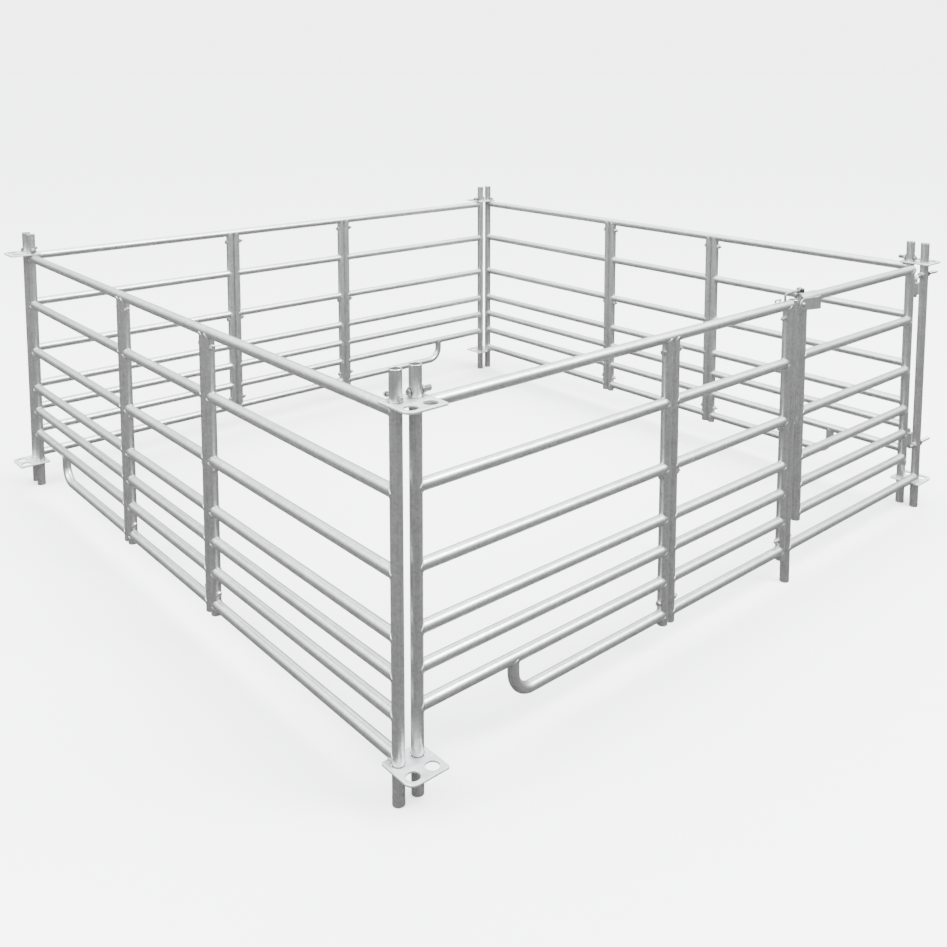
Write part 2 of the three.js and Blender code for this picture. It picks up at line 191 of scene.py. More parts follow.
def make_lamp(name, place, size, power):
    data = bpy.data.lights.new(name, "AREA")
    data.shape = "SQUARE"
    data.size = size
    data.energy = power
    lamp = bpy.data.objects.new(name, data)
    lamp.location = place
    lamp.rotation_euler = (Vector(LAMP_TARGET) - Vector(place)).to_track_quat("-Z", "Y").to_euler()
    collection.objects.link(lamp)


make_sky()
make_lamp("key", (3.0, -5.5, 7.0), 3.5, 1500)
make_lamp("fill", (-6.5, 0.5, 5.5), 4.0, 900)
print("sky steps:", SKY)

# %% [markdown]
# ## Hot-dip galvanised steel
# Molten zinc freezes on the steel in small crystals, so the surface is a patchwork of slightly
# different greys, with longer streaks where it ran down as the panel left the bath. One
# function makes every zinc finish: crystals from a Voronoi pattern, soft clouds from noise,
# and streaks from a second noise stretched along the tube's own UV map.

# %% Zinc
ZINC_METALLIC = 0.95
CRYSTAL_SHARE = 0.16
RUN_SCALE = (4.0, 190.0, 1.0)
CLOUD_SCALE, GRAIN_SCALE, LUMP_SCALE = 24.0, 420.0, 46.0
GRAIN_SHARE = 0.3
DARK_STOP, LIGHT_STOP = 0.25, 0.72
RELIEF_STRENGTH, RELIEF_DEPTH = 0.55, 0.0009


def new_material(name, metallic):
    material = bpy.data.materials.new(name)
    material.use_nodes = True
    tree = material.node_tree
    shader = tree.nodes["Principled BSDF"]
    shader.inputs["Metallic"].default_value = metallic
    return material, tree, shader.inputs


def set_surface(tree, surface, stops, shade, roughs, relief, strength, depth):
    """Colour and roughness from one pattern, and bumps from another."""
    colours = add_node(tree, "ShaderNodeValToRGB", {0: shade})
    set_stops(colours, stops)
    roughness = first_out(tree, "ShaderNodeMapRange", {0: shade, 3: roughs[0], 4: roughs[1]})
    bump = first_out(tree, "ShaderNodeBump",
                     {"Height": relief, "Strength": strength, "Distance": depth})
    for output, name in ((colours.outputs[0], "Base Color"), (roughness, "Roughness"),
                         (bump, "Normal")):
        tree.links.new(output, surface[name])


def make_zinc(name, dark, light, crystal, streaks, rough_low, rough_high):
    """Zinc with crystals of about that size in metres; streaks is how much the runs show."""
    material, tree, surface = new_material(name, ZINC_METALLIC)
    place = add_node(tree, "ShaderNodeTexCoord")

    def noise(scale, detail, vector=place.outputs["Object"], **more):
        inputs = {"Vector": vector, "Scale": scale, "Detail": detail, **more}
        return add_node(tree, "ShaderNodeTexNoise", inputs).outputs["Fac"]

    crystals = add_node(tree, "ShaderNodeTexVoronoi", {
        "Vector": place.outputs["Object"], "Scale": 1 / crystal, "Randomness": 1.0})
    crystal_grey = first_out(tree, "ShaderNodeSeparateColor", {0: crystals.outputs["Color"]})
    clouds = noise(CLOUD_SCALE, 5.0, Roughness=0.55)
    along = first_out(tree, "ShaderNodeMapping",
                      {"Vector": place.outputs["UV"], "Scale": RUN_SCALE})
    runs = noise(1.0, 4.0, vector=along, Roughness=0.55)
    shade = weighted_sum(tree, [
        (crystal_grey, CRYSTAL_SHARE),
        (clouds, 1.0 - CRYSTAL_SHARE - streaks),
        (runs, streaks),
    ])
    grain, lumps = noise(GRAIN_SCALE, 3.0), noise(LUMP_SCALE, 2.0)
    relief = weighted_sum(tree, [(grain, GRAIN_SHARE), (lumps, 1.0)])
    stops = [(DARK_STOP, dark), (LIGHT_STOP, light)]
    set_surface(tree, surface, stops, shade, (rough_high, rough_low), relief,
                RELIEF_STRENGTH, RELIEF_DEPTH)
    return material


tube_zinc = make_zinc("galvanised tube", (0.375, 0.38, 0.38), (0.65, 0.66, 0.665),
                      0.007, 0.5, 0.27, 0.42)
plate_zinc = make_zinc("galvanised plate", (0.52, 0.53, 0.53), (0.74, 0.75, 0.75),
                       0.009, 0.1, 0.45, 0.6)
weld_zinc = make_zinc("galvanised weld", (0.32, 0.33, 0.33), (0.56, 0.58, 0.58),
                      0.004, 0.0, 0.32, 0.5)
bolt_zinc = make_zinc("zinc plated bolt", (0.36, 0.35, 0.33), (0.58, 0.57, 0.54),
                      0.005, 0.1, 0.25, 0.42)
dull_steel = make_zinc("dull steel", (0.13, 0.13, 0.125), (0.30, 0.30, 0.29),
                       0.004, 0.1, 0.38, 0.55)
print("finishes:", [m.name for m in (tube_zinc, plate_zinc, weld_zinc, bolt_zinc, dull_steel)])

# %% [markdown]
# The hinge nuts and the latch's pivot bolt are blackened steel: an almost black oxide skin,
# worn to bare metal in specks.

# %% Black steel
BLACK_METALLIC = 0.6
SPECK_SCALE = 260.0


def make_black_steel():
    material, tree, surface = new_material("black steel", BLACK_METALLIC)
    place = add_node(tree, "ShaderNodeTexCoord").outputs["Object"]
    specks = first_out(tree, "ShaderNodeTexNoise", {
        "Vector": place, "Scale": SPECK_SCALE, "Detail": 5.0, "Roughness": 0.7})
    stops = [(0.45, (0.012, 0.012, 0.014)), (0.8, (0.09, 0.09, 0.1))]
    set_surface(tree, surface, stops, specks, (0.32, 0.6), specks, 0.3, 0.0003)
    return material


black_steel = make_black_steel()
print("also:", black_steel.name)

# %% [markdown]
# ## Sizes
# Every side of the pen is the same run of panels turned by a quarter turn, so the pieces are
# built once in side coordinates: u runs along the side from its end post, v points out of the
# pen and z up. Post centres and overall heights come from the frame's boxes.

# %% Side coordinates and sizes
SIDES = ("front", "left", "back", "right")
TUBE_R = 0.01685
BORE_R = 0.0142
ROUND = 0.0009
SINK = 0.0006
SEGMENTS = 48
SEAM_HALF = 0.00025
END_PANEL = 0.985
MID_END = 1.640
RAIL_HEIGHTS = (1.010, 0.806, 0.600, 0.437, 0.335, 0.233, 0.125)
TOP_RAIL, BOTTOM_RAIL = RAIL_HEIGHTS[0], RAIL_HEIGHTS[-1]


def middle(node):
    low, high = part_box(node)
    return (low + high) / 2


half_side = middle("gate_hinge_post").x
post_to_post = half_side - middle("front_bend_post").x
hole_pitch = 2 * half_side - post_to_post
post_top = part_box("front_bend_post")[1].z
upright_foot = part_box("front_mid_upright")[0].z
frame_post_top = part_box("gate_frame_post")[1].z


def side_matrix(side):
    """Takes side coordinates to the frame's X, Y and Z."""
    turn = Matrix.Rotation(-SIDES.index(side) * math.pi / 2, 4, "Z")
    corner = Matrix.Translation((half_side, -half_side, 0))
    return turn @ corner @ Matrix.Rotation(math.pi, 4, "Z")


print("half side", round(half_side, 4), "post to post", round(post_to_post, 4), "m")

# %% [markdown]
# ## Coped tubes
# A fabricator saddle-cuts the end of a rail so that it fits round the upright. Here that cut
# is exact: each point of the rail's end ring stops where it would meet the round upright, and
# the ring lies a hair inside it. A tube is a row of rings covered with quads, and its UV map
# is in metres along and around, which is what the zinc's streaks follow.

# %% Rings and skins
def circle(r, count=SEGMENTS):
    steps = [2 * math.pi * (i + 0.5) / count for i in range(count)]
    return [(r * math.cos(a), r * math.sin(a)) for a in steps]


def cope(offset):
    """How far from a tube's axis its wall is, for a line that passes that far to the side."""
    return math.sqrt(max(TUBE_R ** 2 - offset ** 2, 0))


def skin(bm, rings, closed=False):
    """Covers rings with quads; the ends are fanned, or the last ring joins the first."""
    uv = bm.loops.layers.uv.verify()
    rows = [[bm.verts.new(p) for p in ring] for ring in rings]
    reach = [0.0]
    for a, b in zip(rings, rings[1:] + rings[:1]):
        reach.append(reach[-1] + (Vector(b[0]) - Vector(a[0])).length)
    count = len(rings[0])
    step = 2 * math.pi * TUBE_R / count
    pairs = list(zip(rows, rows[1:] + rows[:1]))
    if not closed:
        pairs = pairs[:-1]
    for n, (a, b) in enumerate(pairs):
        for i in range(count):
            j = (i + 1) % count
            face = bm.faces.new((a[i], a[j], b[j], b[i]))
            corners = ((n, i), (n, i + 1), (n + 1, i + 1), (n + 1, i))
            for loop, (m, around) in zip(face.loops, corners):
                loop[uv].uv = (reach[m], around * step)
    if closed:
        return
    for row, ring in ((rows[0], rings[0]), (rows[-1], rings[-1])):
        centre = bm.verts.new(sum((Vector(p) for p in ring), Vector()) / count)
        for i in range(count):
            face = bm.faces.new((row[i], row[(i + 1) % count], centre))
            for loop in face.loops:
                loop[uv].uv = (loop.vert.co.x, loop.vert.co.y)


print("a rail's wall is", cope(0), "m from its axis, and", round(cope(0.01), 4), "at 10 mm aside")

# %% [markdown]
# ## Pieces
# Every mesh made here ends the same way: turned to its side of the pen, smoothed except at
# sharp edges, given its finish and hung on the moving body it rides on, while the node of the
# imported model that it stands for is hidden. Doing that in one place keeps the pieces alike.

# %% Pieces
SHARP_ANGLE = math.radians(38)


def finish_piece(name, mesh, body, material, nodes=()):
    """Makes a mesh in frame coordinates a piece of the object."""
    mesh.materials.clear()
    mesh.materials.append(material)
    piece = bpy.data.objects.new(name, mesh)
    collection.objects.link(piece)
    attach(piece, body)
    if nodes:
        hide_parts(*nodes)


def mesh_from(name, bm, side, smooth):
    bmesh.ops.recalc_face_normals(bm, faces=bm.faces)
    mesh = bpy.data.meshes.new(name)
    bm.to_mesh(mesh)
    bm.free()
    mesh.transform(side_matrix(side))
    if smooth:
        mesh.shade_smooth()
        mesh.set_sharp_from_angle(angle=SHARP_ANGLE)
    return mesh


def solid_piece(node, bm, body, material, side="front", smooth=True):
    """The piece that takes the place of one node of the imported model."""
    mesh = mesh_from(node, bm, side, smooth)
    finish_piece(node + "_steel", mesh, body, material, [node])


def tubes_piece(node, side, shapes, body="pen"):
    """One piece from rows of rings."""
    bm = bmesh.new()
    for rings, closed in shapes:
        skin(bm, rings, closed)
    solid_piece(node, bm, body, tube_zinc, side)


print("edges sharper than", round(math.degrees(SHARP_ANGLE)), "degrees stay sharp")

# %% [markdown]
# The shapes that a pen needs: a rail with any mix of coped and plain ends, an upright that
# reaches up under its top rail and is open at the foot, and a post that is open at both ends.
# Each cope also leaves a line for the welder, which the weld beads follow later.

# %% Rails, uprights and posts
FOOT_BORE_DEPTH = 0.06
FLUSH_SHARE = 0.72
weld_lines = {"pen": [], "gate_leaf": []}


def add_weld(side, points, closed=True, body="pen"):
    place = side_matrix(side)
    weld_lines[body].append(([place @ Vector(p) for p in points], closed))


def level_ring(u, z, r=TUBE_R):
    return [(u, c, z + s) for c, s in circle(r)]


def standing_ring(u, z, r=TUBE_R):
    return [(u + c, s, z) for c, s in circle(r)]


def rail(side, z, start, end, body="pen"):
    """A level tube; start and end are ('coped', axis of the upright) or ('plain', end of tube)."""
    halves = []
    for (kind, at), way in ((start, 1), (end, -1)):
        if kind == "coped":
            halves.append([[(at + way * (cope(c) - SINK), c, z + s) for c, s in circle(TUBE_R)]])
            add_weld(side, [(at + way * cope(c), c, z + s) for c, s in circle(TUBE_R)], body=body)
        else:
            halves.append([level_ring(at, z, TUBE_R - ROUND), level_ring(at + way * ROUND, z)])
    return halves[0] + halves[1][::-1], False


def upright(side, u, foot, rail_z, outer_way=0, body="pen"):
    """A tube coped under a rail; outer_way is the side of it that ends flush with the rail."""
    top = [(u + c, s, rail_z - cope(s) + SINK) for c, s in circle(TUBE_R)]
    bead = [(u + c, s, rail_z - cope(s)) for c, s in circle(TUBE_R)]
    if outer_way:
        flush = FLUSH_SHARE * TUBE_R
        keep = [(p[0] - u) * outer_way < flush for p in bead]
        first = next(i for i in range(len(bead)) if keep[i] and not keep[i - 1])
        ordered = bead[first:] + bead[:first]
        bead = [p for p in ordered if (p[0] - u) * outer_way < flush]
    add_weld(side, bead, closed=not outer_way, body=body)
    return [
        standing_ring(u, foot + FOOT_BORE_DEPTH, BORE_R),
        standing_ring(u, foot + ROUND, BORE_R),
        standing_ring(u, foot, BORE_R + ROUND),
        standing_ring(u, foot, TUBE_R - ROUND),
        standing_ring(u, foot + ROUND),
        top,
    ], False


def open_post(u, top):
    outline = [
        (TUBE_R, ROUND), (TUBE_R, top - ROUND), (TUBE_R - ROUND, top), (BORE_R + ROUND, top),
        (BORE_R, top - ROUND), (BORE_R, ROUND), (BORE_R + ROUND, 0), (TUBE_R - ROUND, 0),
    ]
    return [standing_ring(u, z, r) for r, z in outline], True


print("shapes: rail, upright, open_post")

# %% [markdown]
# The bent panel's lowest rail stops short of the corner: it turns up through a right angle and
# ends under the sixth rail. Its rings stay square to the path all the way round the bend.

# %% Bent rail
BEND_LEG = 2.295
BEND_RADIUS = 0.065
BEND_STEPS = 16


def bent_path(start, corner, end, radius, steps):
    """Stations (u, z, tangent u, tangent z) of a path that turns up or down at its corner."""
    rise = math.copysign(1, end[1] - corner[1])
    along = math.copysign(1, corner[0] - start[0])
    stations = [(*start, along, 0)]
    for i in range(steps + 1):
        angle = math.pi / 2 * i / steps
        cos, sin = math.cos(angle), math.sin(angle)
        u = corner[0] - along * radius * (1 - sin)
        z = corner[1] + rise * radius * (1 - cos)
        stations.append((u, z, along * cos, rise * sin))
    return stations + [(*end, 0, rise)]


def ring_across(u, z, tu, tz, r, v=0.0, count=SEGMENTS):
    return [(u - tz * s, v + c, z + tu * s) for c, s in circle(r, count)]


def bent_rail(side, upright_u):
    rail_z = RAIL_HEIGHTS[5]
    path = bent_path((upright_u, BOTTOM_RAIL), (BEND_LEG, BOTTOM_RAIL), (BEND_LEG, rail_z),
                     BEND_RADIUS, BEND_STEPS)
    rings = [ring_across(*station, TUBE_R) for station in path]
    rings[0] = [(upright_u + cope(p[1]) - SINK, p[1], p[2]) for p in rings[0]]
    rings[-1] = [(p[0], p[1], rail_z - cope(p[1]) + SINK) for p in rings[-1]]
    add_weld(side, [(p[0] + SINK, p[1], p[2]) for p in rings[0]])
    add_weld(side, [(p[0], p[1], p[2] - SINK) for p in rings[-1]])
    return rings, False


print("the bend has a radius of", BEND_RADIUS, "m, at u =", BEND_LEG)

# %% [markdown]
# ## The four sides
# Now the panels are only lists of rails and uprights. On the front the gate takes the place of
# the end panel.

# %% Panels
def rails_between(side, near, far, heights, plain, body="pen"):
    """Rails between two uprights; plain says at which ends the top rail runs over them."""
    near_end = ("plain", near - TUBE_R) if "near" in plain else ("coped", near)
    far_end = ("plain", far + TUBE_R) if "far" in plain else ("coped", far)
    top = rail(side, heights[0], near_end, far_end, body)
    return [top] + [rail(side, z, ("coped", near), ("coped", far), body) for z in heights[1:]]


def ladder_piece(node, side, rails, stile, body="pen"):
    top, *lower = rails
    tubes_piece(node, side, [top, stile, *lower], body)


def build_middle_panel(side):
    near, far = END_PANEL + SEAM_HALF + TUBE_R, MID_END - SEAM_HALF - TUBE_R
    rails = rails_between(side, near, far, RAIL_HEIGHTS, ("near", "far"))
    stile = upright(side, near, upright_foot, TOP_RAIL, -1)
    ladder_piece(f"{side}_mid_ladder", side, rails, stile)
    tubes_piece(f"{side}_mid_upright", side, [upright(side, far, upright_foot, TOP_RAIL, 1)])


def build_bent_panel(side):
    near = MID_END + SEAM_HALF + TUBE_R
    rails = rails_between(side, near, post_to_post, RAIL_HEIGHTS[:6], ("near",))
    stile = upright(side, near, upright_foot, TOP_RAIL, -1)
    ladder_piece(f"{side}_bend_ladder", side, rails, stile)
    tubes_piece(f"{side}_bend_rail", side, [bent_rail(side, near)])
    tubes_piece(f"{side}_bend_post", side, [open_post(post_to_post, post_top)])


def build_end_panel(side):
    far = END_PANEL - SEAM_HALF - TUBE_R
    rails = rails_between(side, 0, far, RAIL_HEIGHTS, ("far",))
    stile = upright(side, far, upright_foot, TOP_RAIL, 1)
    ladder_piece(f"{side}_end_ladder", side, rails, stile)
    tubes_piece(f"{side}_end_post", side, [open_post(0, post_top)])


for side in SIDES:
    build_middle_panel(side)
    build_bent_panel(side)
    if side != "front":
        build_end_panel(side)
print("weld lines so far:", len(weld_lines["pen"]))

# %% [markdown]
# ## The gate
# The gate's frame is a hinge post, a frame post bolted to the next panel and a threshold rail
# low enough to step over. The leaf hangs between them a little higher than the other rails.

# %% Gate frame and leaf
LEAF_LIFT = 0.008
LEAF_RAILS = [z + LEAF_LIFT for z in RAIL_HEIGHTS[:6]]
HINGE_STILE = 0.118
LATCH_STILE = 0.909
leaf_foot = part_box("gate_hinge_stile")[0].z
frame_post_u = END_PANEL - SEAM_HALF - TUBE_R

tubes_piece("gate_hinge_post", "front", [open_post(0, post_top)])
tubes_piece("gate_frame_post", "front", [open_post(frame_post_u, frame_post_top)])
tubes_piece("gate_threshold_rail", "front",
            [rail("front", BOTTOM_RAIL, ("coped", 0), ("coped", frame_post_u))])

leaf_rails = rails_between("front", HINGE_STILE, LATCH_STILE, LEAF_RAILS, ("near", "far"),
                           "gate_leaf")
latch_stile = upright("front", LATCH_STILE, leaf_foot, LEAF_RAILS[0], 1, body="gate_leaf")
hinge_stile = upright("front", HINGE_STILE, leaf_foot, LEAF_RAILS[0], -1, body="gate_leaf")
ladder_piece("gate_ladder", "front", leaf_rails, latch_stile, "gate_leaf")
tubes_piece("gate_hinge_stile", "front", [hinge_stile], body="gate_leaf")
print("leaf foot at", round(leaf_foot, 3), "m")

# %% [markdown]
# ## Corner plates
# Each plate is punched from 6 mm steel: a rounded square with four round holes, two of them
# filled by the neighbouring posts. A flat curve with holes is the natural way to draw it, and
# a small bevel takes the sharpness off its edges.

# %% Plates
PLATE_SIZE = 0.124
PLATE_HOLE_R = 0.019
PLATE_OUTER_ROUND = 0.026
PLATE_INNER_ROUND = 0.007
PLATE_BEVEL = 0.0008
MERGE_DISTANCE = 1e-5
ARC_STEPS = 10


def rounded_corner(centre, r, start_angle):
    steps = [start_angle + math.pi / 2 * i / ARC_STEPS for i in range(ARC_STEPS + 1)]
    return [(centre[0] + r * math.cos(a), centre[1] + r * math.sin(a)) for a in steps]


def plate_outline():
    """The plate about its own centre; its well rounded corner points to +u and +v."""
    half = PLATE_SIZE / 2
    points = []
    for i, (su, sv) in enumerate(((1, 1), (-1, 1), (-1, -1), (1, -1))):
        r = PLATE_OUTER_ROUND if i == 0 else PLATE_INNER_ROUND
        points += rounded_corner((su * (half - r), sv * (half - r)), r, i * math.pi / 2)
    return points


def add_loop(curve, points):
    spline = curve.splines.new("POLY")
    spline.points.add(len(points) - 1)
    for point, (x, y) in zip(spline.points, points):
        point.co = (x, y, 0, 1)
    spline.use_cyclic_u = True


def build_plate(node, side):
    low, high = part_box(node)
    thickness = high.z - low.z
    curve = bpy.data.curves.new(node, "CURVE")
    curve.dimensions = "2D"
    curve.fill_mode = "BOTH"
    curve.extrude = thickness / 2 - PLATE_BEVEL
    curve.bevel_depth = PLATE_BEVEL
    curve.bevel_resolution = 2
    curve.offset = -PLATE_BEVEL
    add_loop(curve, plate_outline())
    half_pitch = hole_pitch / 2
    for su in (-1, 1):
        for sv in (-1, 1):
            hole = [(su * half_pitch + c, sv * half_pitch + s) for c, s in circle(PLATE_HOLE_R)]
            add_loop(curve, hole)
    drawing = bpy.data.objects.new(node + "_drawing", curve)
    collection.objects.link(drawing)
    bpy.context.view_layer.update()
    depsgraph = bpy.context.evaluated_depsgraph_get()
    mesh = bpy.data.meshes.new_from_object(drawing.evaluated_get(depsgraph))
    bpy.data.objects.remove(drawing)
    bm = bmesh.new()
    bm.from_mesh(mesh)
    bmesh.ops.remove_doubles(bm, verts=bm.verts, dist=MERGE_DISTANCE)
    place = Matrix.Translation((post_to_post + half_pitch, half_pitch, (low.z + high.z) / 2))
    bmesh.ops.transform(bm, matrix=place, verts=bm.verts)
    solid_piece(node, bm, "pen", plate_zinc, side)


for side in SIDES:
    build_plate(f"{side}_corner_plate_top", side)
    build_plate(f"{side}_corner_plate_bottom", side)
print("plates:", 2 * len(SIDES), "of", PLATE_SIZE, "m")

# %% [markdown]
# ## Geometry Nodes: weld beads
# A weld bead is a thin rope of metal along the joint, never quite even. The lines left by the
# copes become curves, a small circle is swept along them, and noise pushes the surface in and
# out. The tree has named inputs, and its result is turned into a plain mesh for each body.

# %% Node tree helpers
def new_tree(name, sockets):
    tree = bpy.data.node_groups.new(name, "GeometryNodeTree")
    tree.interface.new_socket("Geometry", in_out="INPUT", socket_type="NodeSocketGeometry")
    for label, kind in sockets:
        tree.interface.new_socket(label, in_out="INPUT", socket_type=kind)
    tree.interface.new_socket("Geometry", in_out="OUTPUT", socket_type="NodeSocketGeometry")
    given = tree.nodes.new("NodeGroupInput").outputs
    return tree, given, tree.nodes.new("NodeGroupOutput")


def grow(name, source_mesh, tree, values):
    """Runs a tree on a mesh and gives its result as a plain mesh."""
    source = bpy.data.objects.new(name + "_source", source_mesh)
    collection.objects.link(source)
    modifier = source.modifiers.new("grow", "NODES")
    modifier.node_group = tree
    for item in tree.interface.items_tree:
        if item.in_out == "INPUT" and item.name in values:
            modifier[item.identifier] = values[item.name]
    bpy.context.view_layer.update()
    depsgraph = bpy.context.evaluated_depsgraph_get()
    mesh = bpy.data.meshes.new_from_object(source.evaluated_get(depsgraph), depsgraph=depsgraph)
    source.modifiers.clear()
    bpy.data.objects.remove(source)
    return mesh


print("helpers: new_tree, grow")

# %% [markdown]
# The bead's tree, from left to right: lines to curves, a circle swept along them, then every
# point pushed along its normal by noise that has been shifted to lie about zero.

# %% Weld tree
BEAD_SIDES = 8


def painted(tree, geometry, material):
    real = first_out(tree, "GeometryNodeRealizeInstances", {0: geometry})
    inputs = {"Geometry": real, "Material": material}
    return first_out(tree, "GeometryNodeSetMaterial", inputs)


def make_weld_tree():
    tree, given, result = new_tree("weld bead", [
        ("Bead Radius", "NodeSocketFloat"),
        ("Ripple", "NodeSocketFloat"),
        ("Ripple Scale", "NodeSocketFloat"),
        ("Material", "NodeSocketMaterial"),
    ])
    path = first_out(tree, "GeometryNodeMeshToCurve", {0: given["Geometry"]})
    profile = first_out(tree, "GeometryNodeCurvePrimitiveCircle",
                        {"Resolution": BEAD_SIDES, "Radius": given["Bead Radius"]})
    sweep = first_out(tree, "GeometryNodeCurveToMesh",
                      {"Curve": path, "Profile Curve": profile, "Fill Caps": True})
    ripple = first_out(tree, "ShaderNodeTexNoise",
                       {"Scale": given["Ripple Scale"], "Detail": 2.0})
    height = maths(tree, maths(tree, ripple, "SUBTRACT", 0.5), "MULTIPLY", given["Ripple"])
    normal = first_out(tree, "GeometryNodeInputNormal")
    push = first_out(tree, "ShaderNodeVectorMath", {0: normal, "Scale": height},
                     operation="SCALE")
    moved = first_out(tree, "GeometryNodeSetPosition", {"Geometry": sweep, "Offset": push})
    smooth = first_out(tree, "GeometryNodeSetShadeSmooth", {"Geometry": moved})
    tree.links.new(painted(tree, smooth, given["Material"]), result.inputs[0])
    return tree


weld_tree = make_weld_tree()
print("tree:", weld_tree.name)

# %% [markdown]
# ## Geometry Nodes: bolts
# Every bolt in the pen is the same thing at other sizes: a chamfered hexagon head with a
# washer, a plain shank hidden in the steel, a second washer, a nut, and a threaded tip. The
# tree builds that one bolt along Z from its inputs and puts a copy on each point, turned to
# the direction the point carries. The thread is a real ridge: the radius of the tip rises and
# falls with the height plus the angle round it, which winds it into a helix.

# %% Bolt parts
HEX_BODY_SHARE = 0.8
HEX_CHAMFER = 0.82
WASHER_SIDES, SHANK_SIDES = 24, 16
THREAD_STEPS = 56


def placed(tree, geometry, base, flip=False):
    """Geometry that stands on Z = base, turned to face down where flip is set."""
    lift = first_out(tree, "ShaderNodeCombineXYZ", {"Z": base})
    turn = (math.pi if flip else 0, 0, 0)
    inputs = {"Geometry": geometry, "Translation": lift, "Rotation": turn}
    return first_out(tree, "GeometryNodeTransform", inputs)


def joined(tree, parts):
    join = add_node(tree, "GeometryNodeJoinGeometry")
    for part in parts:
        tree.links.new(part, join.inputs[0])
    return join.outputs[0]


def cone(tree, sides, bottom, top, height, segments=1):
    """A prism or a blunt cone, from Z = 0 upwards."""
    return first_out(tree, "GeometryNodeMeshCone", {
        "Vertices": sides, "Side Segments": segments, "Radius Bottom": bottom,
        "Radius Top": top, "Depth": height}, fill_type="NGON")


def chamfered_hex(tree, width, height, base, flip=False):
    """A hexagon prism with a chamfer at its outer end; base is the height it stands on."""
    radius = maths(tree, width, "MULTIPLY", 1 / math.sqrt(3))
    body_height = maths(tree, height, "MULTIPLY", HEX_BODY_SHARE)
    cap_height = maths(tree, height, "MULTIPLY", 1 - HEX_BODY_SHARE)
    small = maths(tree, radius, "MULTIPLY", HEX_CHAMFER)
    prism = cone(tree, 6, radius, radius, body_height)
    cap = placed(tree, cone(tree, 6, radius, small, cap_height), body_height)
    inputs = {"Geometry": joined(tree, [prism, cap]), "Distance": MERGE_DISTANCE}
    welded = first_out(tree, "GeometryNodeMergeByDistance", inputs)
    return placed(tree, welded, base, flip)


def plain_round(tree, radius, height, base, flip=False, sides=WASHER_SIDES):
    return placed(tree, cone(tree, sides, radius, radius, height), base, flip)


print("bolt parts: chamfered_hex, plain_round")

# %% [markdown]
# The thread needs one trick. Ping-pong turns a steadily growing number into a zigzag, and the
# number that grows here is the height in turns of the thread plus the share of a turn round
# the axis. The zigzag pulls the wall inwards, so the ridge climbs as a real thread does.

# %% Threaded tip
def threaded_tip(tree, given, base):
    """A rod with a helical ridge, from base upwards."""
    radius = given["Shank Radius"]
    rod = cone(tree, SHANK_SIDES, radius, radius, given["Tip"], THREAD_STEPS)
    position = first_out(tree, "GeometryNodeInputPosition")
    x, y, z = add_node(tree, "ShaderNodeSeparateXYZ", {0: position}).outputs
    turn = maths(tree, maths(tree, y, "ARCTAN2", x), "DIVIDE", 2 * math.pi)
    climb = maths(tree, z, "DIVIDE", given["Pitch"])
    wave = maths(tree, maths(tree, turn, "ADD", climb), "PINGPONG", 0.5)
    depth = maths(tree, wave, "MULTIPLY", given["Thread Depth"])
    flat = first_out(tree, "ShaderNodeCombineXYZ", {0: x, 1: y})
    out = first_out(tree, "ShaderNodeVectorMath", {0: flat}, operation="NORMALIZE")
    inwards = maths(tree, depth, "MULTIPLY", -2.0)
    push = first_out(tree, "ShaderNodeVectorMath", {0: out, "Scale": inwards}, operation="SCALE")
    cut = first_out(tree, "GeometryNodeSetPosition", {"Geometry": rod, "Offset": push})
    return placed(tree, cut, base)


print("a tip has", SHANK_SIDES, "sides and", THREAD_STEPS, "steps")

# %% [markdown]
# The whole bolt stacks its parts along Z, with the grip's middle at zero: head and washer
# below, nut, washer and tip above. Each point's "aim" attribute turns its copy.

# %% Bolt tree
BOLT_LENGTHS = (
    "Grip", "Stand", "Head Width", "Head Height", "Nut Width", "Nut Height",
    "Washer Radius", "Washer Thickness", "Shank Radius", "Tip", "Pitch", "Thread Depth",
)


def make_bolt_tree():
    sockets = [(name, "NodeSocketFloat") for name in BOLT_LENGTHS]
    sockets.append(("Material", "NodeSocketMaterial"))
    tree, given, result = new_tree("bolt on a point", sockets)
    grip, washer = given["Grip"], given["Washer Thickness"]
    washer_radius, shank_radius = given["Washer Radius"], given["Shank Radius"]
    under_nut = maths(tree, grip, "ADD", given["Stand"])
    under_head = maths(tree, maths(tree, grip, "ADD", washer), "MULTIPLY", -1.0)
    on_nut_washer = maths(tree, under_nut, "ADD", washer)
    grip_foot = maths(tree, grip, "MULTIPLY", -1.0)
    shank_length = maths(tree, under_nut, "ADD", grip)
    bolt = joined(tree, [
        chamfered_hex(tree, given["Head Width"], given["Head Height"], under_head, flip=True),
        chamfered_hex(tree, given["Nut Width"], given["Nut Height"], on_nut_washer),
        plain_round(tree, washer_radius, washer, grip_foot, flip=True),
        plain_round(tree, washer_radius, washer, under_nut),
        plain_round(tree, shank_radius, shank_length, grip_foot, sides=SHANK_SIDES),
        threaded_tip(tree, given, on_nut_washer),
    ])
    aim = add_node(tree, "GeometryNodeInputNamedAttribute", {"Name": "aim"},
                   data_type="FLOAT_VECTOR").outputs["Attribute"]
    turn = first_out(tree, "FunctionNodeAlignRotationToVector", {"Vector": aim}, axis="Z")
    copies = first_out(tree, "GeometryNodeInstanceOnPoints", {
        "Points": given["Geometry"], "Instance": bolt, "Rotation": turn})
    tree.links.new(painted(tree, copies, given["Material"]), result.inputs[0])
    return tree


bolt_tree = make_bolt_tree()
print("tree:", bolt_tree.name)

# %% [markdown]
# ## Bolts through the uprights
# Three bolts clamp each pair of uprights: one under the top rail, one half way down and one
# near the foot. Each becomes a loose point that carries its direction, and the tree does the
# rest.

